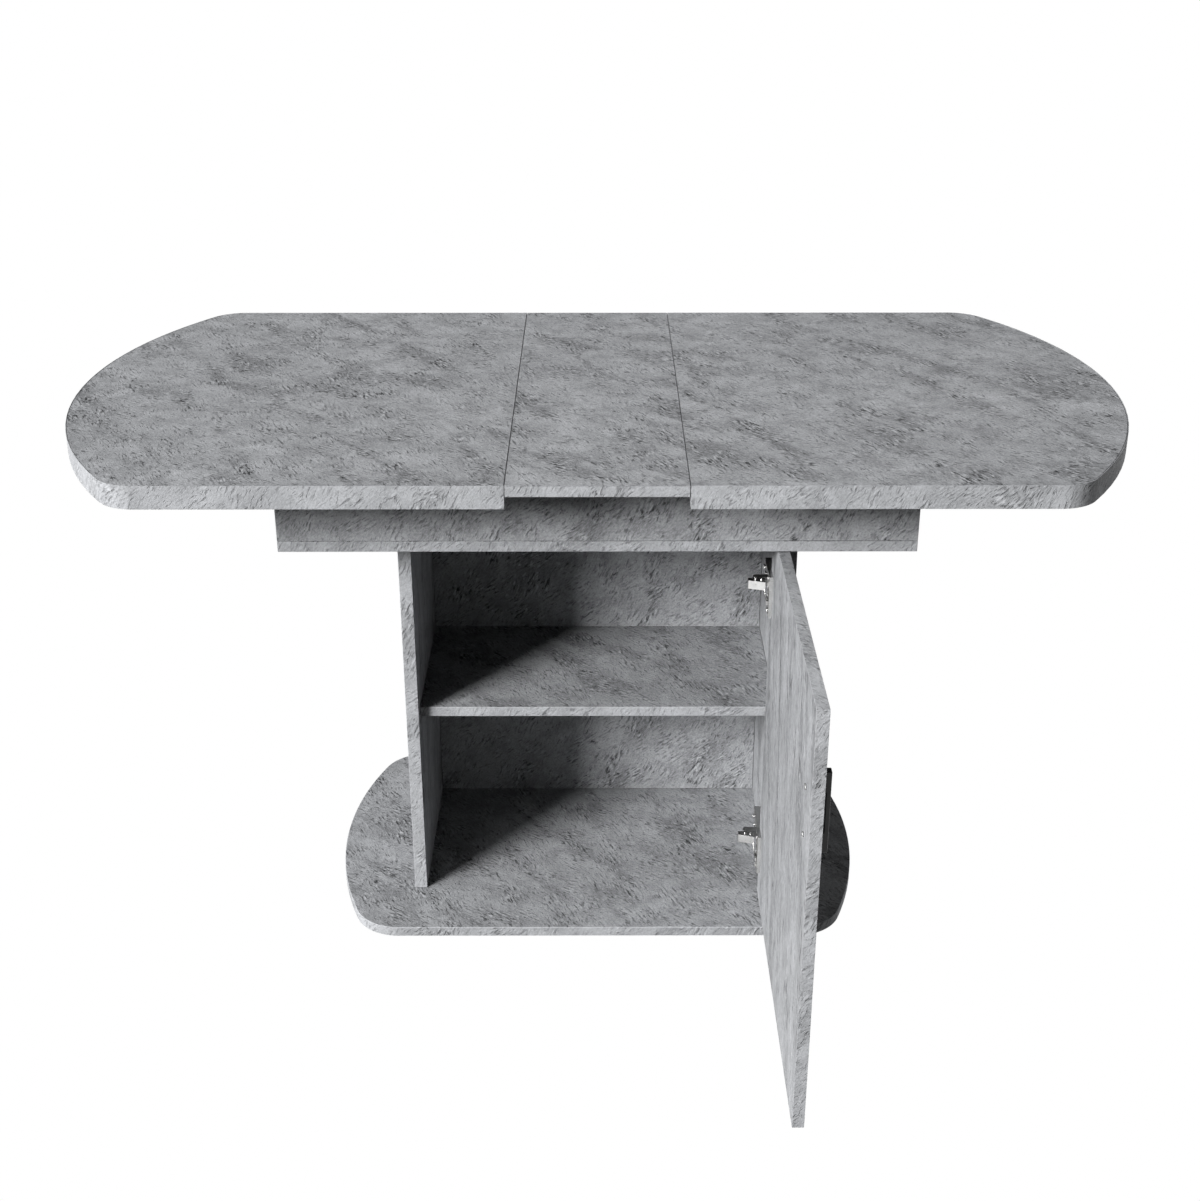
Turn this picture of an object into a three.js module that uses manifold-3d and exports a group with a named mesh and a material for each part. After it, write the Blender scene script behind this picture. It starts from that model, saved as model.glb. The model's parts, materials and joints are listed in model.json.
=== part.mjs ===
// Extendable pedestal dining table with a storage cabinet in its column.
//
// Units are millimetres, +Z is up and +X runs along the length of the top. The origin is on the
// floor under the middle of the table. The table stands as in use: the top is extended, the loose
// leaf lies between the two halves, and the cabinet door is open at a right angle.

import * as THREE from 'three';
import { mergeVertices } from 'three/addons/utils/BufferGeometryUtils.js';
import Module from 'manifold-3d';

// ---------------------------------------------------------------- driving dimensions

const BOARD = 15;                 // laminated chipboard
const SIDE_BOARD = 18;            // thicker board of the two column sides
const GAP = 0.3;                  // assembly gap between touching boards
const GLIDE_HEIGHT = 4;           // felt glides under the base plate

const TOP_LENGTH = 1442;          // extended
const TOP_WIDTH = 768;
const TOP_HEIGHT = 754;
const TOP_END_RADIUS = 626;
const TOP_CORNER_RADIUS = 58;
const LEAF_WIDTH = 225;
const LEAF_SIDE_GAP = 0.5;
const LIFT_PER_SLIDE = 4;         // the leaf rises this much for each unit that a half slides in
const DOUBLER_WIDTH = 70;         // strip that doubles the edge of each half
const DOUBLER_INNER_RADIUS = 10;
const EDGE_BAND = 1;              // plastic band round the doubled edge of each half

const APRON_LENGTH = 836;
const APRON_WIDTH = 490;
const APRON_BOTTOM = 608;
const APRON_CLEARANCE = 3;        // free height between the apron and the sliding halves

const COLUMN_WIDTH = 547;         // over the two sides
const COLUMN_DEPTH = 300;
const SHELF_TOP = 317;
const SHELF_SETBACK = 17;         // from the front of the sides to the front of the shelf

const BASE_LENGTH = 787;
const BASE_WIDTH = 502;
const BASE_END_RADIUS = 561;
const BASE_CORNER_RADIUS = 70;

const DOOR_SIDE_GAP = 1.5;
const DOOR_BOTTOM_GAP = 3.7;
const DOOR_TOP_GAP = 3.2;
const DOOR_AXIS = new THREE.Vector2(260.1, -157.4);  // vertical axis on which the door swings
const HINGE_HEIGHTS = { upper: 517, lower: 103 };

const SLIDE_SPACING = 180;        // from the middle of the table to the middle of each slide
const GEAR_MODULE = 3;
const GEAR_TEETH = 14;

// ---------------------------------------------------------------- materials

const makeMaterial = (color, roughness, metalness) =>
  new THREE.MeshStandardMaterial({ color, roughness, metalness });

const materials = {
  laminate: () => makeMaterial(0x9a9b9c, 0.6, 0),
  beech: () => makeMaterial(0xc79b68, 0.55, 0),
  nylon: () => makeMaterial(0xe8e4d8, 0.45, 0),
  steel: () => makeMaterial(0xb9babb, 0.3, 1),
  black: () => makeMaterial(0x161617, 0.35, 0.6),
  felt: () => makeMaterial(0x3a3836, 0.95, 0),
};

// ---------------------------------------------------------------- solids and booleans

const wasm = await Module();
wasm.setup();

function toSolid(geometry) {
  const bare = geometry.index ? geometry.toNonIndexed() : geometry.clone();
  bare.deleteAttribute('normal');
  bare.deleteAttribute('uv');
  const merged = mergeVertices(bare, 1e-4);
  return new wasm.Manifold(new wasm.Mesh({
    numProp: 3,
    vertProperties: Float32Array.from(merged.attributes.position.array),
    triVerts: Uint32Array.from(merged.index.array),
  }));
}

function toGeometry(solid) {
  const mesh = solid.getMesh();
  const geometry = new THREE.BufferGeometry();
  geometry.setAttribute('position', new THREE.BufferAttribute(mesh.vertProperties, 3));
  geometry.setIndex(new THREE.BufferAttribute(mesh.triVerts, 1));
  geometry.computeVertexNormals();
  return geometry;
}

// The body with every added geometry joined to it and then every cut geometry taken away.
function combine(body, { add = [], cut = [] }) {
  const joined = add.reduce((solid, other) => solid.add(toSolid(other)), toSolid(body));
  return toGeometry(cut.reduce((solid, other) => solid.subtract(toSolid(other)), joined));
}

// A box between two corners.
function box([x0, y0, z0], [x1, y1, z1]) {
  const geometry = new THREE.BoxGeometry(x1 - x0, y1 - y0, z1 - z0);
  return geometry.translate((x0 + x1) / 2, (y0 + y1) / 2, (z0 + z1) / 2);
}

// A flat outline in X and Y, pulled up from z0 to z1.
function prism(shape, z0, z1, curveSegments = 12) {
  const options = { depth: z1 - z0, bevelEnabled: false, curveSegments };
  return new THREE.ExtrudeGeometry(shape, options).translate(0, 0, z0);
}

// An upright cylinder from z0 to z1 on the point (x, y).
function post(x, y, z0, z1, radius, segments = 16) {
  const geometry = new THREE.CylinderGeometry(radius, radius, z1 - z0, segments);
  return geometry.rotateX(Math.PI / 2).translate(x, y, (z0 + z1) / 2);
}

// A level cylinder along X from x0 to x1 at the height z.
function peg(x0, x1, y, z, radius, segments = 16) {
  const geometry = new THREE.CylinderGeometry(radius, radius, x1 - x0, segments);
  return geometry.rotateZ(Math.PI / 2).translate((x0 + x1) / 2, y, z);
}

const polygon = (points) => new THREE.Shape(points.map(([x, y]) => new THREE.Vector2(x, y)));

const table = new THREE.Group();

function place(name, geometry, material, parent = table) {
  const mesh = new THREE.Mesh(geometry, materials[material]());
  mesh.name = name;
  parent.add(mesh);
  return mesh;
}

// ---------------------------------------------------------------- board outlines

// The round end of a board: a wide arc across the end and a small one at each corner, which
// meets the arc and the straight long edge smoothly. The end faces +X, or -X when facing is pi.
function addRoundEnd(shape, facing, { halfLength, halfWidth, endRadius, cornerRadius }) {
  const sign = Math.cos(facing);
  const endCentre = halfLength - endRadius;
  const cornerY = halfWidth - cornerRadius;
  const cornerX = endCentre + Math.sqrt((endRadius - cornerRadius) ** 2 - cornerY ** 2);
  const turn = Math.atan2(cornerY, cornerX - endCentre);
  const quarter = Math.PI / 2;
  shape.absarc(sign * cornerX, -sign * cornerY, cornerRadius, facing - quarter, facing - turn);
  shape.absarc(sign * endCentre, 0, endRadius, facing - turn, facing + turn);
  shape.absarc(sign * cornerX, sign * cornerY, cornerRadius, facing + turn, facing + quarter);
}

// A board with one round end, from the line x = start to the end that faces +X.
function halfOblong(start, size) {
  const shape = new THREE.Shape();
  shape.moveTo(start, size.halfWidth);
  shape.lineTo(start, -size.halfWidth);
  addRoundEnd(shape, 0, size);
  return shape;
}

// A board with a round end on both sides.
function oblong(size) {
  const shape = new THREE.Shape();
  addRoundEnd(shape, 0, size);
  addRoundEnd(shape, Math.PI, size);
  return shape;
}

// ---------------------------------------------------------------- top halves and leaf

const topUnderside = TOP_HEIGHT - BOARD;
const halfTopLength = TOP_LENGTH / 2;
const halfTopWidth = TOP_WIDTH / 2;
const seam = LEAF_WIDTH / 2;

const topSize = {
  halfLength: halfTopLength,
  halfWidth: halfTopWidth,
  endRadius: TOP_END_RADIUS,
  cornerRadius: TOP_CORNER_RADIUS,
};
const shrink = (size, inset) => ({
  halfLength: size.halfLength - inset,
  halfWidth: size.halfWidth - inset,
  endRadius: size.endRadius - inset,
  cornerRadius: size.cornerRadius - inset,
});
const insideDoubler = {
  halfLength: halfTopLength - DOUBLER_WIDTH,
  halfWidth: halfTopWidth - DOUBLER_WIDTH,
  endRadius: TOP_END_RADIUS - DOUBLER_WIDTH,
  cornerRadius: DOUBLER_INNER_RADIUS,
};

function topHalf(side, turn) {
  const group = new THREE.Group();
  group.rotation.z = turn;
  const outer = halfOblong(seam, shrink(topSize, EDGE_BAND + GAP));
  place(`${side}_top_panel`, prism(outer, topUnderside, TOP_HEIGHT), 'laminate', group);

  const inner = halfOblong(0, insideDoubler);
  const stripTop = topUnderside - GAP;
  const stripBottom = stripTop - BOARD;
  const strip = combine(prism(outer, stripBottom, stripTop), {
    cut: [prism(inner, stripBottom - 1, stripTop + 1)],
  });
  place(`${side}_edge_doubler`, strip, 'laminate', group);

  const band = combine(prism(halfOblong(seam, topSize), stripBottom, TOP_HEIGHT), {
    cut: [prism(halfOblong(0, shrink(topSize, EDGE_BAND)), stripBottom - 1, TOP_HEIGHT + 1)],
  });
  place(`${side}_edge_band`, band, 'laminate', group);
  table.add(group);
  return group;
}

const rightHalf = topHalf('right', 0);
const leftHalf = topHalf('left', Math.PI);

// The long edges of the leaf lean in towards its underside, so that it lifts out while the
// halves start to close.
const leafHalf = seam - LEAF_SIDE_GAP;
const leafUndercut = BOARD / LIFT_PER_SLIDE;
const leafSection = polygon([
  [-leafHalf, 0],
  [-leafHalf + leafUndercut, -BOARD],
  [leafHalf - leafUndercut, -BOARD],
  [leafHalf, 0],
]);
const leaf = new THREE.ExtrudeGeometry(leafSection, { depth: TOP_WIDTH, bevelEnabled: false });
leaf.rotateX(Math.PI / 2).translate(0, halfTopWidth, TOP_HEIGHT);
place('extension_leaf', leaf, 'laminate');

// ---------------------------------------------------------------- apron box

const apronX = APRON_LENGTH / 2;
const apronY = APRON_WIDTH / 2;
const apronFloor = APRON_BOTTOM + BOARD;
const apronTop = topUnderside - APRON_CLEARANCE;

place(
  'apron_bottom_panel',
  box([-apronX, -apronY, APRON_BOTTOM], [apronX, apronY, apronFloor]),
  'laminate',
);

for (const [name, sign] of [['front', -1], ['back', 1]]) {
  const outside = sign * apronY;
  const inside = sign * (apronY - BOARD);
  const low = [-apronX, Math.min(outside, inside), apronFloor + GAP];
  const high = [apronX, Math.max(outside, inside), apronTop];
  place(`apron_${name}_board`, box(low, high), 'laminate');
}

const apronEndY = apronY - BOARD - GAP;
for (const [name, sign] of [['left', -1], ['right', 1]]) {
  const outside = sign * apronX;
  const inside = sign * (apronX - BOARD);
  const low = [Math.min(outside, inside), -apronEndY, apronFloor + GAP];
  const high = [Math.max(outside, inside), apronEndY, apronTop];
  place(`apron_${name}_end`, box(low, high), 'laminate');
}

// ---------------------------------------------------------------- geared slides

const pitchRadius = GEAR_MODULE * GEAR_TEETH / 2;
const toothPitch = Math.PI * GEAR_MODULE;
const addendum = 0.8 * GEAR_MODULE;
const dedendum = 1.25 * GEAR_MODULE;
const pressureAngle = THREE.MathUtils.degToRad(20);
const backlash = 0.6;

const railTop = topUnderside - GAP;
const railBottom = apronFloor + GAP;
const centreRailTop = apronTop - 2;
const centreRailHalf = pitchRadius - addendum - 0.7;
const railInner = pitchRadius - addendum;
const railOuter = railInner + 20;
const railInnerEnd = 60;          // each moving rail reaches this far past the middle
const railOuterEnd = 390;
const slideTravel = LEAF_WIDTH / 2;
const pinionBottom = 700;
const pinionTop = 712;
const tongueBottom = 660;
const tongueTop = 668;
const tongueDepth = 6;
const axleRadius = 4;

// Outline of the pinion, with one tooth on +Y and one on -Y.
function pinionShape() {
  const baseRadius = pitchRadius * Math.cos(pressureAngle);
  const involute = (angle) => Math.tan(angle) - angle;
  const pitchHalfAngle = (toothPitch - backlash) / 4 / pitchRadius;
  const halfAngle = (radius) => {
    const pressure = Math.acos(Math.min(1, baseRadius / radius));
    return pitchHalfAngle + involute(pressureAngle) - involute(pressure);
  };
  const radii = [pitchRadius - dedendum, baseRadius, pitchRadius, pitchRadius + addendum];
  const points = [];
  for (let tooth = 0; tooth < GEAR_TEETH; tooth += 1) {
    const middle = Math.PI / 2 + tooth * 2 * Math.PI / GEAR_TEETH;
    for (const radius of radii) {
      const angle = middle - halfAngle(radius);
      points.push([radius * Math.cos(angle), radius * Math.sin(angle)]);
    }
    for (const radius of [...radii].reverse()) {
      const angle = middle + halfAngle(radius);
      points.push([radius * Math.cos(angle), radius * Math.sin(angle)]);
    }
  }
  const shape = polygon(points);
  const bore = new THREE.Path();
  bore.absarc(0, 0, axleRadius + GAP, 0, 2 * Math.PI, true);
  shape.holes.push(bore);
  return shape;
}

// One moving rail on the -Y side of its slide, reaching from railOuterEnd on the -X side to
// railInnerEnd on the +X side, with a groove for the centre rail's tongue and a row of rack
// gaps that face the pinion.
function movingRail() {
  const cuts = [
    box(
      [-railOuterEnd - 1, -railInner - tongueDepth - 0.4, tongueBottom - 0.4],
      [railInnerEnd + 1, -railInner + 1, tongueTop + 0.4],
    ),
  ];
  const spread = Math.tan(pressureAngle);
  const halfAtPitch = (toothPitch + backlash) / 4;
  const halfAtTip = halfAtPitch + addendum * spread;
  const halfAtRoot = halfAtPitch - dedendum * spread;
  const lastGap = Math.ceil((slideTravel + 2 * toothPitch) / toothPitch);
  for (let gap = -lastGap; gap <= 2; gap += 1) {
    const x = gap * toothPitch;
    const notch = polygon([
      [x - halfAtTip, -railInner],
      [x - halfAtRoot, -pitchRadius - dedendum],
      [x + halfAtRoot, -pitchRadius - dedendum],
      [x + halfAtTip, -railInner],
      [x + halfAtTip, -railInner + 1],
      [x - halfAtTip, -railInner + 1],
    ]);
    cuts.push(prism(notch, pinionBottom - 1, railTop + 1));
  }
  const body = box([-railOuterEnd, -railOuter, railBottom], [railInnerEnd, -railInner, railTop]);
  return combine(body, { cut: cuts });
}

function centreRail() {
  const reach = apronX - BOARD - GAP;
  const body = box([-reach, -centreRailHalf, railBottom], [reach, centreRailHalf, centreRailTop]);
  const tongueHalf = railInner + tongueDepth;
  const tongues = box([-reach, -tongueHalf, tongueBottom], [reach, tongueHalf, tongueTop]);
  const windowHalf = pitchRadius + addendum + 2;
  const window = box(
    [-windowHalf, -centreRailHalf - 1, pinionBottom - 0.5],
    [windowHalf, centreRailHalf + 1, pinionTop + 0.5],
  );
  const axleHole = post(0, 0, pinionBottom - 12, centreRailTop + 1, axleRadius + GAP);
  return combine(body, { add: [tongues], cut: [window, axleHole] });
}

// Each slide is the other one turned half round, so its outer rail belongs to the other half.
for (const slide of [
  { name: 'front', y: -SLIDE_SPACING, turn: 0, outer: 'left', inner: 'right' },
  { name: 'back', y: SLIDE_SPACING, turn: Math.PI, outer: 'right', inner: 'left' },
]) {
  const group = new THREE.Group();
  group.position.y = slide.y;
  group.rotation.z = slide.turn;
  place(`${slide.name}_centre_rail`, centreRail(), 'beech', group);
  place(`${slide.name}_${slide.outer}_rail`, movingRail(), 'beech', group);
  const inner = place(`${slide.name}_${slide.inner}_rail`, movingRail(), 'beech', group);
  inner.rotation.z = Math.PI;
  place(`${slide.name}_pinion`, prism(pinionShape(), pinionBottom, pinionTop, 8), 'nylon', group);
  const axleTop = centreRailTop - 1;
  place(`${slide.name}_pinion_axle`, post(0, 0, pinionBottom - 11, axleTop, axleRadius), 'steel', group);
  table.add(group);
}

// ---------------------------------------------------------------- base plate and glides

const baseUnderside = GLIDE_HEIGHT;
const baseTop = baseUnderside + BOARD;
const baseShape = oblong({
  halfLength: BASE_LENGTH / 2,
  halfWidth: BASE_WIDTH / 2,
  endRadius: BASE_END_RADIUS,
  cornerRadius: BASE_CORNER_RADIUS,
});
place('base_plate', prism(baseShape, baseUnderside, baseTop), 'laminate');

const glideSpots = { centre: [0, 0] };
for (const [xName, xSign] of [['left', -1], ['right', 1]]) {
  for (const [yName, ySign] of [['front', -1], ['back', 1]]) {
    glideSpots[`${yName}_${xName}`] = [xSign * 290, ySign * 190];
  }
}
for (const [name, [x, y]] of Object.entries(glideSpots)) {
  place(`${name}_glide`, post(x, y, 0, GLIDE_HEIGHT, 14, 24), 'felt');
}

// ---------------------------------------------------------------- column

const columnX = COLUMN_WIDTH / 2;
const columnInner = columnX - SIDE_BOARD;
const columnY = COLUMN_DEPTH / 2;
const columnBottom = baseTop + GAP;
const columnTop = APRON_BOTTOM - GAP;
const shelfUnderside = SHELF_TOP - BOARD;
const pinRadius = 2.5;
const pinZ = shelfUnderside - GAP - pinRadius;
const pinDepth = 9;
const pinReach = 8;
const pinSpots = [['front', -95], ['back', 95]];
const plateScrewY = -82;          // the hinges' mounting plates are screwed to the right side
const plateScrewOffset = 17;
const plateScrewDepth = 12;
const adjustingDepth = 6;
const screwShank = 1.9;
const screwHead = 3.8;

// Holes in the inner face of the right side for the screws of the two mounting plates.
const plateBores = Object.values(HINGE_HEIGHTS).flatMap((z) =>
  [-plateScrewOffset, plateScrewOffset].map((offset) => peg(
    columnInner - 1, columnInner + plateScrewDepth + GAP, plateScrewY, z + offset, screwShank + GAP, 12,
  )));

for (const [side, sign] of [['left', -1], ['right', 1]]) {
  const span = (a, b) => [Math.min(sign * a, sign * b), Math.max(sign * a, sign * b)];
  const [x0, x1] = span(columnInner, columnX);
  const [bore0, bore1] = span(columnInner - 1, columnInner + pinDepth + GAP);
  const [pin0, pin1] = span(columnInner - pinReach, columnInner + pinDepth);
  const bores = pinSpots.map(([, y]) => peg(bore0, bore1, y, pinZ, pinRadius + GAP, 12));
  if (side === 'right') bores.push(...plateBores);
  const panel = box([x0, -columnY, columnBottom], [x1, columnY, columnTop]);
  place(`column_${side}_side`, combine(panel, { cut: bores }), 'laminate');
  for (const [name, y] of pinSpots) {
    place(`${name}_${side}_shelf_pin`, peg(pin0, pin1, y, pinZ, pinRadius, 12), 'steel');
  }
}

const insideX = columnInner - GAP;
const backInner = columnY - BOARD;
place(
  'column_back_panel',
  box([-insideX, backInner, columnBottom], [insideX, columnY, columnTop]),
  'laminate',
);
place(
  'shelf',
  box([-insideX, -columnY + SHELF_SETBACK, shelfUnderside], [insideX, backInner - GAP, SHELF_TOP]),
  'laminate',
);

// ---------------------------------------------------------------- door

// The closed door fills the opening with its outer face level with the column's front. Turned
// a quarter about the door axis, the same door stands square to it.
const closedEdge = columnInner - DOOR_SIDE_GAP;
const doorOuter = DOOR_AXIS.x + DOOR_AXIS.y + columnY;
const doorInner = doorOuter - BOARD;
const doorHingeEdge = DOOR_AXIS.y - DOOR_AXIS.x + closedEdge;
const doorFreeEdge = doorHingeEdge - 2 * closedEdge;
const doorBottom = baseTop + DOOR_BOTTOM_GAP;
const doorTop = APRON_BOTTOM - DOOR_TOP_GAP;

const cupRadius = 13;
const cupDepth = 11;
const cupWall = 2.6;
const cupY = doorHingeEdge - 17;
const flangeDepth = 4.8;
const flangeHalfHeight = 30.5;
const flangeHalfWidth = 12.5;
const cupScrewOffset = 24;

const handleY = doorFreeEdge + 49;
const handleZ = 447;
const handleLength = 108;
const handleReach = 13;
const handleWidth = 11;
const handleThickness = 5.5;
const handleScrewOffset = 32;

const doorCuts = [];
for (const z of Object.values(HINGE_HEIGHTS)) {
  doorCuts.push(peg(doorInner - 1, doorInner + cupDepth + GAP, cupY, z, cupRadius + GAP, 32));
  for (const offset of [-cupScrewOffset, cupScrewOffset]) {
    doorCuts.push(peg(doorInner - 1, doorInner + 12, cupY, z + offset, screwShank + GAP, 12));
  }
}
for (const offset of [-handleScrewOffset, handleScrewOffset]) {
  doorCuts.push(peg(doorInner - 1, doorOuter + 1, handleY, handleZ + offset, screwShank + GAP, 12));
}
const doorBoard = box([doorInner, doorFreeEdge, doorBottom], [doorOuter, doorHingeEdge, doorTop]);
place('door_panel', combine(doorBoard, { cut: doorCuts }), 'laminate');

// A bow handle: a flat grip with a short leg at each end, screwed on from inside the door.
const handleGap = handleReach - handleThickness;
const handleBase = doorOuter + GAP;
const handleHalf = handleLength / 2;
const legLength = handleHalf - handleScrewOffset + 5;
const handleBody = box(
  [handleBase, handleY - handleWidth / 2, handleZ - handleHalf],
  [handleBase + handleReach, handleY + handleWidth / 2, handleZ + handleHalf],
);
const fingerGap = box(
  [handleBase - 1, handleY - handleWidth, handleZ - handleHalf + legLength],
  [handleBase + handleGap, handleY + handleWidth, handleZ + handleHalf - legLength],
);
const handleBores = [-handleScrewOffset, handleScrewOffset].map((offset) =>
  peg(handleBase - 1, handleBase + 7.5, handleY, handleZ + offset, screwShank + GAP, 12));
place('door_handle', combine(handleBody, { cut: [fingerGap, ...handleBores] }), 'black');

// A screw along X with its head on the side of the smaller x.
function screw(headFace, length, y, z) {
  const head = peg(headFace, headFace + 1.6, y, z, screwHead, 16);
  return combine(head, { add: [peg(headFace + 0.8, headFace + length, y, z, screwShank, 12)] });
}

for (const [name, offset] of [['upper', handleScrewOffset], ['lower', -handleScrewOffset]]) {
  const headFace = doorInner - GAP - 1.6;
  const geometry = screw(headFace, BOARD + 8.5, handleY, handleZ + offset);
  place(`${name}_handle_screw`, geometry, 'steel');
}

// ---------------------------------------------------------------- concealed hinges

const plateThickness = 2;
const plateFace = columnInner - GAP - plateThickness;
const plateFrontY = -126;
const plateBackY = -64;
const armDrop = 4;                // the arm lies this much below the middle of the cup
const armHalfHeight = 6.2;
const armDepth = 14;              // from the mounting plate to the arm's open side
const forkHalfHeight = 4;
const eyeHalfHeight = 3.7;
const linkPivot = new THREE.Vector2(222, -124);
const eyeRadius = 5.5;
const linkPinRadius = 2;
const adjustingScrews = { side: -102, depth: -78 };
const elbowLeft = 209;            // the link's elbow, seen from above
const elbowBack = -130.2;
const elbowFront = -139.5;
const strapWidth = 1.8;
const strapFront = -186;
const strapTop = -4;              // height of the strap's top over the middle of the elbow
const strapBottom = -10;
const rivetSpots = [[219.5, -135], [227.5, -136]];
const adjusterStand = 2;          // the adjusting screws stand this far out of the arm

// A winged plate screwed to the column's side, with the hinge arm clipped over it.
function mountingPlate(z) {
  const bar = box([plateFace, plateFrontY, z - 8], [plateFace + plateThickness, plateBackY, z + 8]);
  const wings = box(
    [plateFace, plateScrewY - 8, z - 25],
    [plateFace + plateThickness, plateScrewY + 8, z + 25],
  );
  const holes = [-plateScrewOffset, plateScrewOffset].map((offset) =>
    peg(plateFace - 1, columnInner + 1, plateScrewY, z + offset, screwShank + GAP, 12));
  return combine(bar, { add: [wings], cut: holes });
}

// The cranked arm: along the plate, then out to a fork that holds the link's pin. Two screws
// in its open side adjust the door.
function hingeArm(z) {
  const back = plateFace - GAP;
  const front = back - armDepth;
  const shape = new THREE.Shape();
  shape.moveTo(back, plateBackY + 4);
  shape.lineTo(front, plateBackY + 4);
  shape.lineTo(front, linkPivot.y + eyeRadius);
  shape.lineTo(linkPivot.x, linkPivot.y + eyeRadius);
  shape.absarc(linkPivot.x, linkPivot.y, eyeRadius, Math.PI / 2, Math.PI * 1.5, false);
  shape.lineTo(back - 6, linkPivot.y - eyeRadius);
  shape.lineTo(back, plateFrontY + 8);
  const body = prism(shape, z - armHalfHeight, z + armHalfHeight, 5);
  const slot = box(
    [linkPivot.x - 30, -160, z - forkHalfHeight],
    [linkPivot.x + 11, linkPivot.y + eyeRadius + 1, z + forkHalfHeight],
  );
  const bores = Object.values(adjustingScrews).map((y) =>
    peg(front - 1, front + adjustingDepth + GAP, y, z, screwShank + GAP, 12));
  const pin = post(
    linkPivot.x, linkPivot.y, z - forkHalfHeight - 1, z + forkHalfHeight + 1, linkPinRadius, 12,
  );
  return combine(combine(body, { cut: [slot, ...bores] }), { add: [pin] });
}

// The link, in one piece: an eye on the arm's pin, a solid elbow in front of the fork with two
// rivets, and a thin strap that reaches along the door to the mouth of the cup.
function hingeLink(z) {
  const right = doorInner - GAP - flangeDepth - 0.6;
  const elbow = prism(polygon([
    [elbowLeft, elbowBack],
    [elbowLeft, elbowFront],
    [right, elbowFront - 7],
    [right, elbowBack],
  ]), z - armHalfHeight, z + armHalfHeight);
  const strap = box(
    [right - strapWidth, strapFront, z + strapBottom],
    [right, elbowFront, z + strapTop],
  );
  const neck = box(
    [linkPivot.x - 4.5, elbowBack - 2, z - eyeHalfHeight],
    [linkPivot.x + 4.5, linkPivot.y, z + eyeHalfHeight],
  );
  const eye = post(
    linkPivot.x, linkPivot.y, z - eyeHalfHeight, z + eyeHalfHeight, eyeRadius - 1, 20,
  );
  const hole = post(
    linkPivot.x, linkPivot.y, z - armHalfHeight - 1, z + armHalfHeight + 1, linkPinRadius + 0.4, 12,
  );
  const rivets = rivetSpots.map(([x, y]) =>
    post(x, y, z, z + armHalfHeight + 1.5, 2.2, 12));
  return combine(eye, { add: [neck, elbow, strap, ...rivets], cut: [hole] });
}

// The pressed cup sunk in the door, with the flange that is screwed to the door's inner face.
function hingeCup(z) {
  const face = doorInner - GAP - flangeDepth;
  const cup = peg(doorInner - GAP, doorInner + cupDepth, cupY, z, cupRadius, 32);
  const flange = box(
    [face, cupY - flangeHalfWidth, z - flangeHalfHeight],
    [doorInner - GAP, cupY + flangeHalfWidth, z + flangeHalfHeight],
  );
  const hollow = peg(face - 1, doorInner + cupDepth - cupWall, cupY, z, cupRadius - cupWall, 32);
  const holes = [-cupScrewOffset, cupScrewOffset].map((offset) =>
    peg(face - 1, doorInner, cupY, z + offset, screwShank + GAP, 12));
  return combine(cup, { add: [flange], cut: [hollow, ...holes] });
}

for (const [level, z] of Object.entries(HINGE_HEIGHTS)) {
  place(`${level}_hinge_mounting_plate`, mountingPlate(z), 'steel');
  place(`${level}_hinge_arm`, hingeArm(z - armDrop), 'steel');
  place(`${level}_hinge_link`, hingeLink(z - armDrop), 'steel');
  place(`${level}_hinge_cup`, hingeCup(z), 'steel');
  for (const [purpose, y] of Object.entries(adjustingScrews)) {
    const armFace = plateFace - GAP - armDepth;
    const head = armFace - adjusterStand - 1.6;
    const adjuster = screw(head, armFace + adjustingDepth - head, y, z - armDrop);
    place(`${level}_hinge_${purpose}_screw`, adjuster, 'steel');
  }
  for (const [end, sign] of [['top', 1], ['bottom', -1]]) {
    const plateHead = plateFace - GAP - 1.6;
    const plateScrewLength = columnInner + plateScrewDepth - plateHead;
    const plateScrew = screw(plateHead, plateScrewLength, plateScrewY, z + sign * plateScrewOffset);
    place(`${level}_hinge_plate_${end}_screw`, plateScrew, 'steel');
    const cupHead = doorInner - GAP - flangeDepth - GAP - 1.6;
    const cupScrew = screw(cupHead, 16, cupY, z + sign * cupScrewOffset);
    place(`${level}_hinge_cup_${end}_screw`, cupScrew, 'steel');
  }
}

export default table;
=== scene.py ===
"""Looks of the extendable dining table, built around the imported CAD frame.

Boards, fittings and rails are rebuilt from their CAD solids with rounded edges, smooth round ends
and a surface map in metres, and every piece gets a procedural material.
"""

import json
import math

import bmesh
import bpy
import numpy as np
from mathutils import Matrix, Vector


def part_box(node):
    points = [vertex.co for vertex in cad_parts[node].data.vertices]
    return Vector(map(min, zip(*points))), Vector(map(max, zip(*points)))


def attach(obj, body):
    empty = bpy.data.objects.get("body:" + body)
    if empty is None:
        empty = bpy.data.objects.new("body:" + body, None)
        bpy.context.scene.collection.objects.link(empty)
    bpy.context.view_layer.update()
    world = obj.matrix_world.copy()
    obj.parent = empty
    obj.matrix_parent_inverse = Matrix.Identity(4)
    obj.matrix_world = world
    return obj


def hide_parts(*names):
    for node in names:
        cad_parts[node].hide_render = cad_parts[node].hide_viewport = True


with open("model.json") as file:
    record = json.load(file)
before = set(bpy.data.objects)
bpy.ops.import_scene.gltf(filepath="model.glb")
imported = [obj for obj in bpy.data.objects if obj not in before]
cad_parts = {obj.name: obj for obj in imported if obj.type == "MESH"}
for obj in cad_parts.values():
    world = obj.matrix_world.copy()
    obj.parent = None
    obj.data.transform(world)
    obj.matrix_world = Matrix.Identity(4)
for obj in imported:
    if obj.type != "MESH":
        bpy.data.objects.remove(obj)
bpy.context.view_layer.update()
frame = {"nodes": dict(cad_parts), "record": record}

NODES = frame["nodes"]
MM = 0.001

# ------------------------------------------------------------------ sizes

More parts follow.
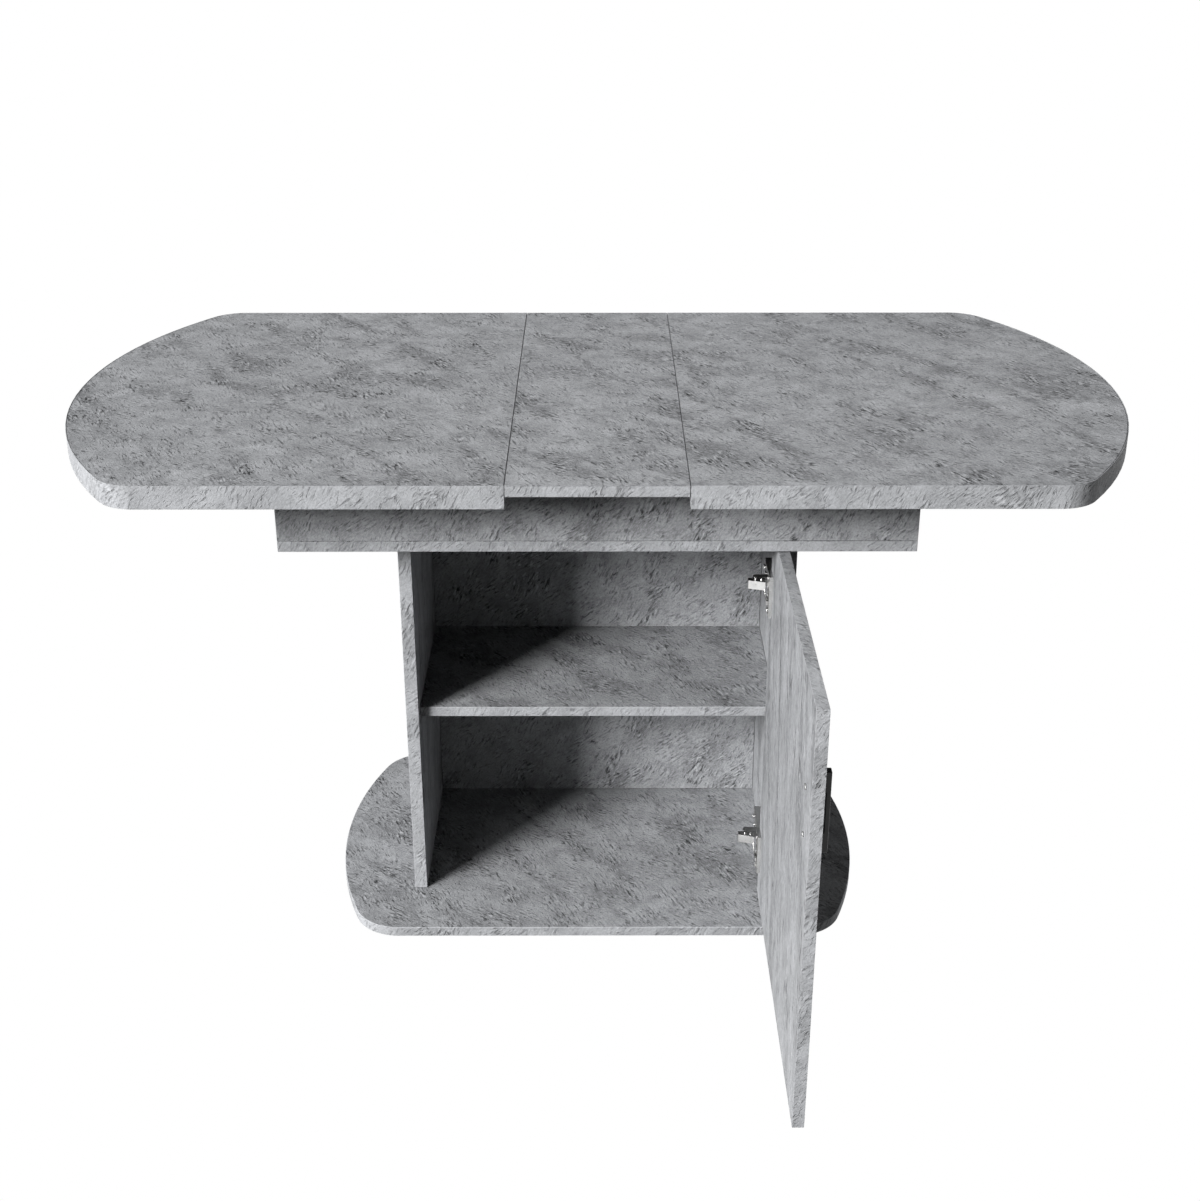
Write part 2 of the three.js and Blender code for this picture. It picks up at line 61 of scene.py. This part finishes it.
BOARD_EDGE = 0.9 * MM           # rounding of a board's edges
BAND_EDGE = 0.25 * MM           # and of the thin edge bands
HANDLE_EDGE = 1.1 * MM
FITTING_EDGE = 0.35 * MM        # and of every other fitting, rail, gear and glide
BOARD_SEGMENTS = 3              # faces across a rounded edge
FITTING_SEGMENTS = 2
SHARP_ANGLE = math.radians(38)  # edges that turn by more than this are rounded
FLAT_ANGLE = math.radians(0.5)  # faces that meet at less than this are one flat face
WELD_DISTANCE = 0.01 * MM

# The laminate is lighter where a board's edge tone is above 0 and darker where it is below.
EDGE_LAYER = "edge_tone"
NARROW_SIDE_TONE = 0.5
# A painted highlight: the rounded edges of the upright boards, the shelf and the base are painted
# lighter.
PAINTED_HIGHLIGHT_EDGE_TONE = 1.0
SEAM_EDGE_TONE = -0.35
BROAD_RATIO = 2.5               # a broad side is more than this many thicknesses across

# The laminate's pattern, as offsets of the surface map in metres.
UPRIGHT_STRETCH = 0.42          # on an upright board's broad sides the pattern is drawn out
FACE_SHIFT = (0.37, 0.53)       # from the faces along one axis to those along the next
BOARD_SHIFT = (0.83, 0.71)      # from one board to another
LEAF_PATTERN = 23

# ------------------------------------------------------------------ shader helpers


class Shader:
    """A small writer of node trees: every call adds one node and returns its output."""

    def __init__(self, name):
        self.material = bpy.data.materials.new(name)
        self.material.use_nodes = True
        self.tree = self.material.node_tree
        self.tree.nodes.clear()
        self.output = self.add("ShaderNodeOutputMaterial")
        self.bsdf = self.add("ShaderNodeBsdfPrincipled")
        self.link(self.bsdf.outputs["BSDF"], self.output.inputs["Surface"])

    def add(self, kind, **settings):
        node = self.tree.nodes.new(kind)
        for key, value in settings.items():
            setattr(node, key, value)
        return node

    def link(self, source, target):
        self.tree.links.new(source, target)

    def feed(self, socket, value):
        if isinstance(value, bpy.types.NodeSocket):
            self.link(value, socket)
        else:
            socket.default_value = value

    def set(self, **values):
        """Sets sockets of the surface shader, such as Metallic=1.0."""
        for key, value in values.items():
            self.feed(self.bsdf.inputs[key.replace("_", " ")], value)

    def math(self, operation, a, b=0.0, clamp=False):
        node = self.add("ShaderNodeMath", operation=operation, use_clamp=clamp)
        self.feed(node.inputs[0], a)
        self.feed(node.inputs[1], b)
        return node.outputs[0]

    def map_range(self, value, low, high, to_low=0.0, to_high=1.0, smooth=False):
        node = self.add("ShaderNodeMapRange", clamp=True)
        if smooth:
            node.interpolation_type = "SMOOTHSTEP"
        for socket, entry in zip(node.inputs[:5], (value, low, high, to_low, to_high)):
            self.feed(socket, entry)
        return node.outputs[0]

    def turned(self, vector, angle=0.0, scale=(1, 1, 1), move=(0, 0, 0)):
        """The vector turned about Z, then scaled: features come out long where scale is small."""
        turn = self.add("ShaderNodeVectorRotate", rotation_type="Z_AXIS")
        self.feed(turn.inputs["Vector"], vector)
        turn.inputs["Angle"].default_value = angle
        mapping = self.add("ShaderNodeMapping")
        self.link(turn.outputs[0], mapping.inputs["Vector"])
        mapping.inputs["Scale"].default_value = scale
        mapping.inputs["Location"].default_value = move
        return mapping.outputs[0]

    def noise(self, vector, scale, detail=2.0, roughness=0.5, distortion=0.0):
        node = self.add("ShaderNodeTexNoise")
        self.feed(node.inputs["Vector"], vector)
        node.inputs["Scale"].default_value = scale
        node.inputs["Detail"].default_value = detail
        node.inputs["Roughness"].default_value = roughness
        node.inputs["Distortion"].default_value = distortion
        return node.outputs["Fac"]

    def spread(self, noise, to_low=0.0, to_high=1.0):
        """Stretches the values that a noise mostly takes, 0.3 to 0.7, to a new range."""
        return self.map_range(noise, 0.3, 0.7, to_low, to_high)

    def step(self, noise, low, high):
        """A soft step from 0 to 1 between low and high; it falls where low is above high."""
        return self.map_range(noise, low, high, smooth=True)

    def mix(self, factor, a, b):
        node = self.add("ShaderNodeMix", data_type="RGBA")
        self.feed(node.inputs["Factor"], factor)
        self.feed(node.inputs[6], a)
        self.feed(node.inputs[7], b)
        return node.outputs[2]

    def bump(self, height, distance, strength=1.0, below=None):
        node = self.add("ShaderNodeBump")
        node.inputs["Strength"].default_value = strength
        node.inputs["Distance"].default_value = distance
        self.feed(node.inputs["Height"], height)
        if below is not None:
            self.link(below, node.inputs["Normal"])
        return node.outputs[0]

    def coordinates(self, kind):
        return self.add("ShaderNodeTexCoord").outputs[kind]


def grey(value, blue=1.0):
    """A grey whose blue part is this many times its red part."""
    return (value, value * (1 + (blue - 1) / 3), value * blue, 1.0)


def laminate_grey(value):
    """The laminate's greys lean slightly to blue."""
    return grey(value, 1.055)


# ------------------------------------------------------------------ materials

# The laminate's features: how many noise cells there are to a metre.
CLOUDS = 6.0
BLOTCHES = 24.0
SMUDGES = (7.5, 19.0, 1.0)      # along and across a smudge
LEAN_PATCHES = 16.0             # patches in which the tool marks lean one way
BUSY_PATCHES = 34.0             # patches with many tool marks or few
GRIT = 330.0
GRAIN = 700.0

SMUDGE_LEAN = math.radians(-54)
# Tool marks: lean, length, width and an offset that keeps each kind's pattern its own.
STEEP_MARKS = (math.radians(66), 13 * MM, 3.6 * MM, (3, 1, 0))
FLAT_MARKS = (math.radians(36), 11 * MM, 3.2 * MM, (7, 5, 0))
RIDGES = (math.radians(52), 5.5 * MM, 1.7 * MM, (11, 2, 0))

# Its greys, the base first and then what is laid over it.
CLOUD_GREYS = (laminate_grey(0.385), laminate_grey(0.525))
BLOTCH_GREY = laminate_grey(0.17)
SMUDGE_GREY = laminate_grey(0.14)
RIDGE_GREY = laminate_grey(0.54)
GRIT_GREY = laminate_grey(0.15)
LIGHT_MARK_GREY = laminate_grey(0.60)
DARK_MARK_GREY = laminate_grey(0.05)
GRAIN_GREY = laminate_grey(0.14)
# The lighter tone of the edge bands, and the painted highlight along rounded edges.
EDGE_BAND_AND_HIGHLIGHT_GREY = laminate_grey(0.60)
DARK_EDGE_GREY = laminate_grey(0.06)

LAMINATE_RELIEF = 1.0 * MM
GRAIN_RELIEF = 0.05 * MM

BEECH_DARK = (0.42, 0.235, 0.11, 1.0)
BEECH_LIGHT = (0.66, 0.42, 0.22, 1.0)
BEECH_PORE = (0.25, 0.12, 0.05, 1.0)
STEEL = (0.78, 0.78, 0.77, 1.0)
STAINED_STEEL = (0.624, 0.624, 0.616, 1.0)
NYLON_DARK = (0.72, 0.69, 0.6, 1.0)
NYLON_LIGHT = (0.8, 0.78, 0.7, 1.0)


def tool_marks(s, surface, lean, length, width, move):
    """A noise drawn out into short strokes of one lean: above a half dark, below it light."""
    stretched = s.turned(surface, -lean, (1 / length, 1 / width, 1.0), move)
    return s.noise(stretched, 1.0, 2.0, 0.6, 0.25)


def slanted_marks(s, surface, smudges):
    """How strong the dark and the light tool marks are; there are more of both in a smudge."""
    steep = tool_marks(s, surface, *STEEP_MARKS)
    flat = tool_marks(s, surface, *FLAT_MARKS)
    side = s.step(s.noise(surface, LEAN_PATCHES, 2.0, 0.5), 0.44, 0.56)
    marks = s.math("ADD", s.math("MULTIPLY", steep, side),
                   s.math("MULTIPLY", flat, s.math("SUBTRACT", 1.0, side)))
    busy = s.map_range(s.noise(surface, BUSY_PATCHES, 4.0, 0.65), 0.42, 0.58, 0.22, 1.0)
    busy = s.math("MULTIPLY", busy, s.map_range(smudges, 0.0, 0.6, 0.55, 1.0))
    dark_marks = s.math("MULTIPLY", s.step(marks, 0.53, 0.62), busy)
    light_marks = s.math("MULTIPLY", s.step(marks, 0.46, 0.36), busy)
    return dark_marks, light_marks


def make_laminate():
    """Concrete-look laminate: soft clouds, dark slanted smudges and small slanted tool marks."""
    s = Shader("concrete_laminate")
    surface = s.coordinates("UV")

    clouds = s.noise(surface, CLOUDS, 4.0, 0.55, 0.5)
    blotches = s.noise(surface, BLOTCHES, 4.0, 0.6, 0.3)
    smudge_map = s.turned(surface, SMUDGE_LEAN, SMUDGES)
    smudges = s.step(s.noise(smudge_map, 1.0, 5.0, 0.6, 0.5), 0.45, 0.68)
    dark_marks, light_marks = slanted_marks(s, surface, smudges)
    ridges = tool_marks(s, surface, *RIDGES)
    grit = s.noise(surface, GRIT, 3.0, 0.65)
    grain = s.noise(surface, GRAIN, 2.0, 0.6)
    edge = s.add("ShaderNodeAttribute", attribute_name=EDGE_LAYER).outputs["Fac"]

    tone = s.mix(s.spread(clouds), *CLOUD_GREYS)
    for strength, laid_over in (
        (s.map_range(blotches, 0.38, 0.66, 0.0, 0.62), BLOTCH_GREY),
        (s.math("MULTIPLY", smudges, 0.85), SMUDGE_GREY),
        (s.map_range(ridges, 0.38, 0.62, 0.0, 0.42), RIDGE_GREY),
        (s.map_range(grit, 0.4, 0.7, 0.0, 0.5), GRIT_GREY),
        (s.math("MULTIPLY", light_marks, 0.8), LIGHT_MARK_GREY),
        (dark_marks, DARK_MARK_GREY),
        (s.spread(grain, 0.0, 0.12), GRAIN_GREY),
        # Edge bands lighter, rounded edges lighter still as a painted highlight, seams darker.
        (s.math("MULTIPLY", edge, 0.4, clamp=True), EDGE_BAND_AND_HIGHLIGHT_GREY),
        (s.math("MULTIPLY", edge, -0.8, clamp=True), DARK_EDGE_GREY),
    ):
        tone = s.mix(strength, tone, laid_over)

    relief = s.math("SUBTRACT", s.math("MULTIPLY", ridges, 0.4), dark_marks)
    relief = s.math("ADD", relief, s.math("MULTIPLY", grit, 0.45))
    normal = s.bump(relief, LAMINATE_RELIEF, 0.85)
    normal = s.bump(grain, GRAIN_RELIEF, 0.4, below=normal)
    s.set(
        Base_Color=tone,
        Roughness=s.spread(clouds, 0.62, 0.5),
        Normal=normal,
        Specular_IOR_Level=0.15,
    )
    return s.material


def make_beech():
    """Oiled beech with its grain along X and short dark pores."""
    s = Shader("beech")
    place = s.coordinates("Object")
    grain = s.noise(s.turned(place, 0.0, (6.0, 160.0, 160.0)), 1.0, 4.0, 0.6, 0.8)
    pores = s.noise(s.turned(place, 0.0, (90.0, 1400.0, 1400.0)), 1.0, 2.0, 0.5)
    tone = s.mix(grain, BEECH_DARK, BEECH_LIGHT)
    s.set(
        Base_Color=s.mix(s.map_range(pores, 0.58, 0.75, 0.0, 0.5), tone, BEECH_PORE),
        Roughness=s.spread(grain, 0.42, 0.58),
        Normal=s.bump(pores, 0.08 * MM, 0.6),
    )
    return s.material


def make_plated_steel():
    """Nickel-plated steel, faintly brushed and stained."""
    s = Shader("plated_steel")
    place = s.coordinates("Object")
    brushed = s.noise(s.turned(place, 0.0, (120.0, 120.0, 1080.0)), 1.0, 3.0, 0.6)
    stain = s.noise(place, 60.0, 4.0, 0.6)
    s.set(
        Base_Color=s.mix(s.map_range(stain, 0.35, 0.7), STEEL, STAINED_STEEL),
        Metallic=1.0,
        Roughness=s.spread(brushed, 0.26, 0.42),
        Normal=s.bump(brushed, 0.01 * MM, 0.3),
    )
    return s.material


def make_black_metal():
    """Satin black powder coat with a fine orange-peel skin, a little lighter where it is rubbed."""
    s = Shader("black_metal")
    place = s.coordinates("Object")
    peel = s.noise(place, 1100.0, 2.0, 0.5)
    rub = s.noise(place, 90.0, 4.0, 0.65)
    s.set(
        Base_Color=s.mix(s.map_range(rub, 0.4, 0.75), grey(0.008), grey(0.022)),
        Roughness=s.spread(rub, 0.3, 0.42),
        Normal=s.bump(peel, 0.02 * MM, 0.4),
        Coat_Weight=0.1,
        Coat_Roughness=0.2,
        Specular_IOR_Level=0.3,
    )
    return s.material


def make_nylon():
    """Moulded off-white nylon, slightly mottled."""
    s = Shader("nylon")
    place = s.coordinates("Object")
    mottle = s.noise(place, 300.0, 3.0, 0.5)
    s.set(
        Base_Color=s.mix(mottle, NYLON_DARK, NYLON_LIGHT),
        Roughness=s.spread(mottle, 0.38, 0.52),
        Normal=s.bump(mottle, 0.03 * MM, 0.4),
        Subsurface_Weight=0.08,
    )
    return s.material


def make_felt():
    """Dark pressed felt with a fibrous face."""
    s = Shader("felt")
    place = s.coordinates("Object")
    fibres = s.noise(place, 1600.0, 4.0, 0.7, 1.5)
    s.set(
        Base_Color=s.mix(fibres, grey(0.02), grey(0.085)),
        Roughness=0.95,
        Normal=s.bump(fibres, 0.2 * MM, 0.8),
        Sheen_Weight=0.4,
    )
    return s.material


MATERIALS = {
    "concrete_laminate": make_laminate(),
    "beech": make_beech(),
    "plated_steel": make_plated_steel(),
    "black_metal": make_black_metal(),
    "nylon": make_nylon(),
    "felt": make_felt(),
}

# ------------------------------------------------------------------ meshes from the CAD solids

SLOT_OF = {part["node"]: part["material_slot"] for part in frame["record"]["subparts"]}
BODY_OF = {
    node: body
    for body, members in frame["record"]["behaviour"]["bodies"].items()
    for node in members
}
ROUND_BOARDS = {
    "left_top_panel", "right_top_panel", "left_edge_doubler", "right_edge_doubler",
    "left_edge_band", "right_edge_band", "base_plate",
}
UPRIGHT_BOARDS = {"door_panel", "column_left_side", "column_right_side"}
# The rounded edges of these boards get a painted highlight; those of the top panels get a darker
# seam tone.
EDGE_TONES = dict.fromkeys(UPRIGHT_BOARDS | {"shelf", "base_plate"}, PAINTED_HIGHLIGHT_EDGE_TONE)
EDGE_TONES |= dict.fromkeys(("left_top_panel", "right_top_panel"), SEAM_EDGE_TONE)


def rounded_mesh(source, edge, segments, edge_tone=None, narrow=()):
    """A mesh like the source with flat faces made whole and its edges rounded.

    Faces that look along one of the narrow axes get the lighter tone of the edge banding. The
    rounded edges get the edge tone, a painted highlight on some boards and a darker seam on others,
    or with none given the tone of a face beside them.
    """
    mesh = bmesh.new()
    mesh.from_mesh(source)
    layer = mesh.faces.layers.float.new(EDGE_LAYER)
    bmesh.ops.remove_doubles(mesh, verts=mesh.verts, dist=WELD_DISTANCE)
    bmesh.ops.dissolve_limit(
        mesh, angle_limit=FLAT_ANGLE, verts=mesh.verts, edges=mesh.edges
    )
    for face in mesh.faces:
        if any(abs(face.normal[axis]) > 0.5 for axis in narrow):
            face[layer] = NARROW_SIDE_TONE
    sharp = [
        e for e in mesh.edges
        if len(e.link_faces) == 2 and e.calc_face_angle(0.0) > SHARP_ANGLE
    ]
    rounded = bmesh.ops.bevel(
        mesh, geom=sharp, offset=edge, offset_type="OFFSET", segments=segments,
        profile=0.5, affect="EDGES", clamp_overlap=True,
    )
    if edge_tone is not None:
        for face in rounded["faces"]:
            face[layer] = edge_tone
    bmesh.ops.recalc_face_normals(mesh, faces=mesh.faces)
    return mesh


def outline_of(mesh):
    """The corner points of the largest level face, in order, and the distance along them.

    They start at the hindmost point, and of equal ones at the leftmost, so that every board's
    round sides are unrolled from the same place.
    """
    level = [f for f in mesh.faces if abs(f.normal.z) > 0.99]
    face = max(level, key=lambda f: f.calc_area())
    points = np.array([(loop.vert.co.x, loop.vert.co.y) for loop in face.loops])
    leftward = 1e-3 * points[:, 0]
    start = int(np.argmax(points[:, 1] - leftward))
    points = np.roll(points, -start, axis=0)
    after = np.roll(points, -1, axis=0)
    if (points[:, 0] * after[:, 1] - points[:, 1] * after[:, 0]).sum() < 0:
        points = points[::-1]
    steps = np.linalg.norm(np.roll(points, -1, axis=0) - points, axis=1)
    return points, np.concatenate([[0.0], np.cumsum(steps)])


def along_outline(outline, x, y):
    """How far along the outline the nearest point to (x, y) lies."""
    points, distance = outline
    after = np.roll(points, -1, axis=0)
    edge = after - points
    length2 = np.maximum((edge ** 2).sum(1), 1e-12)
    share = np.clip((((x, y) - points) * edge).sum(1) / length2, 0, 1)
    nearest = points + edge * share[:, None]
    gap = ((nearest - (x, y)) ** 2).sum(1)
    i = int(np.argmin(gap))
    return distance[i] + share[i] * math.sqrt(length2[i])


def map_surface(mesh, shift, round_sides=False, upright=False):
    """Writes a surface map in metres: flat faces from above or the side, round sides unrolled."""
    layer = mesh.loops.layers.uv.new("surface")
    outline = outline_of(mesh) if round_sides else None
    for face in mesh.faces:
        n = face.normal
        axis = max(range(3), key=lambda i: abs(n[i]))
        for loop in face.loops:
            x, y, z = loop.vert.co
            if axis == 2:
                u, v = -x, y
            elif outline is not None:
                u, v = along_outline(outline, x, y), z
            elif axis == 1:
                u, v = x, z
            elif upright:
                u, v = y, z * UPRIGHT_STRETCH
            else:
                u, v = y, z
            loop[layer].uv = (
                u + shift[0] + FACE_SHIFT[0] * axis,
                v + shift[1] + FACE_SHIFT[1] * axis,
            )


def finish_piece(mesh, name, node):
    """Adds the mesh as a piece that stands in for the CAD node."""
    slot = SLOT_OF[node]
    data = bpy.data.meshes.new(name)
    mesh.to_mesh(data)
    mesh.free()
    data.shade_smooth()
    data.set_sharp_from_angle(angle=SHARP_ANGLE)
    piece = bpy.data.objects.new(name, data)
    bpy.context.scene.collection.objects.link(piece)
    data.materials.append(MATERIALS[slot])
    flat_faces = piece.modifiers.new("flat_faces", "WEIGHTED_NORMAL")
    flat_faces.mode = "FACE_AREA"
    flat_faces.weight = 100
    flat_faces.keep_sharp = True
    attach(piece, BODY_OF[node])
    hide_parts(node)


def shift_for(index):
    """A different stretch of the laminate's pattern for each board."""
    return (BOARD_SHIFT[0] * (index % 5), BOARD_SHIFT[1] * ((index * 3) % 7))


def add_boards():
    """Every board but the leaf: the CAD shape with rounded edges and the laminate's map."""
    boards = sorted(n for n, slot in SLOT_OF.items() if slot == "concrete_laminate")
    for index, node in enumerate(boards):
        if node == "extension_leaf":
            continue
        low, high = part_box(node)
        thickness = min(high - low)
        narrow = [axis for axis in range(3) if (high - low)[axis] > BROAD_RATIO * thickness]
        edge = BAND_EDGE if node.endswith("edge_band") else BOARD_EDGE
        tone = EDGE_TONES.get(node)
        mesh = rounded_mesh(NODES[node].data, edge, BOARD_SEGMENTS, tone, narrow)
        map_surface(mesh, shift_for(index), node in ROUND_BOARDS, node in UPRIGHT_BOARDS)
        finish_piece(mesh, f"{node}_board", node)


def box_mesh(low, high):
    """A plain box between two corners."""
    mesh = bmesh.new()
    bmesh.ops.create_cube(mesh, size=1.0)
    size = high - low
    for vert in mesh.verts:
        vert.co = low + Vector((vert.co[i] + 0.5) * size[i] for i in range(3))
    data = bpy.data.meshes.new("box")
    mesh.to_mesh(data)
    mesh.free()
    return data


def add_leaf():
    """The leaf with square long edges; those of its CAD solid lean in towards the underside."""
    source = box_mesh(*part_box("extension_leaf"))
    mesh = rounded_mesh(source, BOARD_EDGE, BOARD_SEGMENTS, SEAM_EDGE_TONE, (0, 1))
    bpy.data.meshes.remove(source)
    map_surface(mesh, shift_for(LEAF_PATTERN))
    finish_piece(mesh, "extension_leaf_board", "extension_leaf")


def add_fittings():
    """Metal, rail, gear and felt pieces: the CAD shape with rounded edges."""
    for node, slot in sorted(SLOT_OF.items()):
        if slot == "concrete_laminate":
            continue
        edge = HANDLE_EDGE if node == "door_handle" else FITTING_EDGE
        mesh = rounded_mesh(NODES[node].data, edge, FITTING_SEGMENTS)
        map_surface(mesh, (0.0, 0.0))
        finish_piece(mesh, f"{node}_piece", node)


add_boards()
add_leaf()
add_fittings()

# ------------------------------------------------------------------ floor, light, camera

FLOOR_GLOW = 1.0
SURROUND_RADIUS = 30.0
AMBIENT = 0.010
AMBIENT_TINT = (0.97, 0.985, 1.0, 1.0)
LIGHT_AZIMUTH = math.radians(-138)              # key and fill stand to the front left
LIGHT_TARGET = Vector((0.0, 0.0, 0.4))
LAMP_DISTANCE = 24.0
KEY_RISE = math.radians(22)
KEY_WIDTH = 8.2                                 # the soft box
KEY_HEIGHT = 6.7
KEY_POWER = 9300.0
FILL_RISE = math.radians(52)
FILL_SPREAD = math.radians(36)
FILL_STRENGTH = 0.45
GLOW_SPREAD = math.radians(60)                  # faint wide lights from either side
GLOWS = {                                       # azimuth, rise and strength
    "left_glow": (math.radians(178), math.radians(50), 0.75),
    "right_glow": (math.radians(8), math.radians(32), 0.45),
}
CAMERA_PLACE = (-0.0009, -2.3207, 1.5026)
CAMERA_TILT = 0.4351                            # looking down by this angle
CAMERA_ROLL = -0.002
CAMERA_LENS = 51.80                             # focal length and sensor width in mm
SENSOR_WIDTH = 36.0
CAMERA_REACH = 100.0


def plain_object(name, mesh, material, reflected):
    """A stage object that lights and shades nothing, though metal may mirror it."""
    data = bpy.data.meshes.new(name)
    mesh.to_mesh(data)
    mesh.free()
    data.materials.append(material)
    piece = bpy.data.objects.new(name, data)
    piece.visible_diffuse = False
    piece.visible_glossy = reflected
    piece.visible_shadow = False
    bpy.context.scene.collection.objects.link(piece)


def add_surroundings():
    """A plain white floor and a plain white surround."""
    s = Shader("white_floor")
    s.set(
        Base_Color=grey(0.0), Roughness=1.0, Specular_IOR_Level=0.0,
        Emission_Color=grey(1.0), Emission_Strength=FLOOR_GLOW,
    )
    floor = bmesh.new()
    bmesh.ops.create_grid(floor, x_segments=1, y_segments=1, size=SURROUND_RADIUS)
    plain_object("floor", floor, s.material, True)
    surround = bmesh.new()
    bmesh.ops.create_uvsphere(surround, u_segments=48, v_segments=24, radius=SURROUND_RADIUS)
    plain_object("surround", surround, s.material, False)


def add_world():
    """A faint even light from all around."""
    world = bpy.data.worlds.new("studio")
    world.use_nodes = True
    background = world.node_tree.nodes["Background"]
    background.inputs["Color"].default_value = AMBIENT_TINT
    background.inputs["Strength"].default_value = AMBIENT
    bpy.context.scene.world = world


def add_lamp(light, azimuth, rise):
    """Places a light at this direction from the table, turned towards it."""
    away = Vector((
        math.cos(azimuth) * math.cos(rise),
        math.sin(azimuth) * math.cos(rise),
        math.sin(rise),
    ))
    lamp = bpy.data.objects.new(light.name, light)
    lamp.rotation_euler = away.to_track_quat("Z", "Y").to_euler()
    lamp.location = LIGHT_TARGET + away * LAMP_DISTANCE
    bpy.context.scene.collection.objects.link(lamp)


def add_sky_light(name, strength, spread, azimuth, rise):
    """A wide soft light from far away; the light that bounces off the table is left out."""
    light = bpy.data.lights.new(name, "SUN")
    light.energy = strength
    light.angle = spread
    light.cycles.max_bounces = 0
    add_lamp(light, azimuth, rise)


def add_lights():
    """A soft box to the front left, a wide soft light above it and a faint one from each side."""
    key = bpy.data.lights.new("key", "AREA")
    key.shape = "RECTANGLE"
    key.size = KEY_WIDTH
    key.size_y = KEY_HEIGHT
    key.energy = KEY_POWER
    key.cycles.max_bounces = 1
    add_lamp(key, LIGHT_AZIMUTH, KEY_RISE)
    add_sky_light("fill", FILL_STRENGTH, FILL_SPREAD, LIGHT_AZIMUTH, FILL_RISE)
    for name, (azimuth, rise, strength) in GLOWS.items():
        add_sky_light(name, strength, GLOW_SPREAD, azimuth, rise)


def add_camera():
    """The camera at the viewing angle of the table's main picture."""
    data = bpy.data.cameras.new("camera")
    data.sensor_width = SENSOR_WIDTH
    data.lens = CAMERA_LENS
    data.clip_end = CAMERA_REACH
    camera = bpy.data.objects.new("camera", data)
    camera.location = CAMERA_PLACE
    camera.rotation_euler = (math.pi / 2 - CAMERA_TILT, 0.0, CAMERA_ROLL)
    bpy.context.scene.collection.objects.link(camera)
    bpy.context.scene.camera = camera


add_surroundings()
add_world()
add_lights()
add_camera()
bpy.context.scene.view_settings.view_transform = "Standard"
